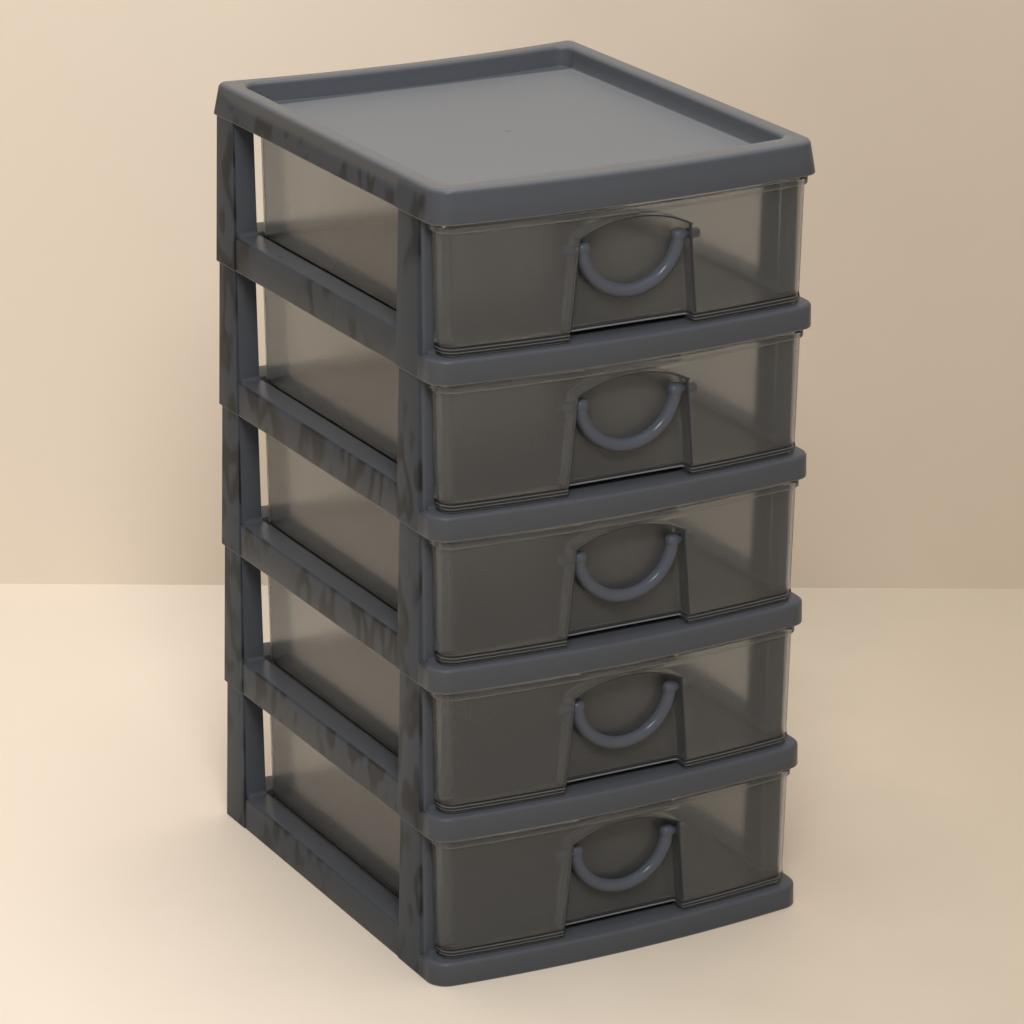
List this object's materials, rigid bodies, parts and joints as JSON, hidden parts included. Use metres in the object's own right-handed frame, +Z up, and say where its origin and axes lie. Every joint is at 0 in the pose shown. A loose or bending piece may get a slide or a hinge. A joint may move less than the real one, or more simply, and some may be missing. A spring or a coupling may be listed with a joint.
{
  "type": "drawer_tower",
  "caption": "Desktop tower of stacked slate plastic tiers with smoky see-through drawers, each with a swinging bail handle, under a lid with a shallow tray.",
  "frame": {"origin": "Under the middle of the tower's outline, on the surface that it stands on.", "axes": "X runs across the front from its left to its right, -Y points out of the drawers' fronts, Z is up."},
  "size_m": [0.28, 0.335, 0.535],
  "materials": {
    "frame_plastic": "moulded polypropylene, dark slate grey with faint flow marks, semi gloss",
    "drawer_plastic": "smoky see-through moulded polypropylene, satin",
    "handle_plastic": "moulded plastic, slate grey, semi gloss"
  },
  "bodies": {
    "frame": {"tier_1": "frame_plastic", "tier_2": "frame_plastic", "tier_3": "frame_plastic", "tier_4": "frame_plastic", "tier_5": "frame_plastic", "lid": "frame_plastic"},
    "drawer_1_body": {"drawer_1": "drawer_plastic"},
    "drawer_2_body": {"drawer_2": "drawer_plastic"},
    "drawer_3_body": {"drawer_3": "drawer_plastic"},
    "drawer_4_body": {"drawer_4": "drawer_plastic"},
    "drawer_5_body": {"drawer_5": "drawer_plastic"},
    "handle_1_body": {"handle_1": "handle_plastic"},
    "handle_2_body": {"handle_2": "handle_plastic"},
    "handle_3_body": {"handle_3": "handle_plastic"},
    "handle_4_body": {"handle_4": "handle_plastic"},
    "handle_5_body": {"handle_5": "handle_plastic"}
  },
  "joints": [
    {"name": "drawer_1_slide", "type": "slide", "parent": "frame", "child": "drawer_1_body", "axis": [0, -1, 0], "range_m": [0, 0.24]},
    {"name": "drawer_2_slide", "type": "slide", "parent": "frame", "child": "drawer_2_body", "axis": [0, -1, 0], "range_m": [0, 0.24]},
    {"name": "drawer_3_slide", "type": "slide", "parent": "frame", "child": "drawer_3_body", "axis": [0, -1, 0], "range_m": [0, 0.24]},
    {"name": "drawer_4_slide", "type": "slide", "parent": "frame", "child": "drawer_4_body", "axis": [0, -1, 0], "range_m": [0, 0.24]},
    {"name": "drawer_5_slide", "type": "slide", "parent": "frame", "child": "drawer_5_body", "axis": [0, -1, 0], "range_m": [0, 0.24]},
    {"name": "handle_1_swing", "type": "hinge", "parent": "drawer_1_body", "child": "handle_1_body", "pos_m": [0, -0.1557, 0.0751], "axis": [-1, 0, 0], "range_deg": [0, 100]},
    {"name": "handle_2_swing", "type": "hinge", "parent": "drawer_2_body", "child": "handle_2_body", "pos_m": [0, -0.1557, 0.1777], "axis": [-1, 0, 0], "range_deg": [0, 100]},
    {"name": "handle_3_swing", "type": "hinge", "parent": "drawer_3_body", "child": "handle_3_body", "pos_m": [0, -0.1557, 0.2803], "axis": [-1, 0, 0], "range_deg": [0, 100]},
    {"name": "handle_4_swing", "type": "hinge", "parent": "drawer_4_body", "child": "handle_4_body", "pos_m": [0, -0.1557, 0.3829], "axis": [-1, 0, 0], "range_deg": [0, 100]},
    {"name": "handle_5_swing", "type": "hinge", "parent": "drawer_5_body", "child": "handle_5_body", "pos_m": [0, -0.1557, 0.4855], "axis": [-1, 0, 0], "range_deg": [0, 100]}
  ]
}
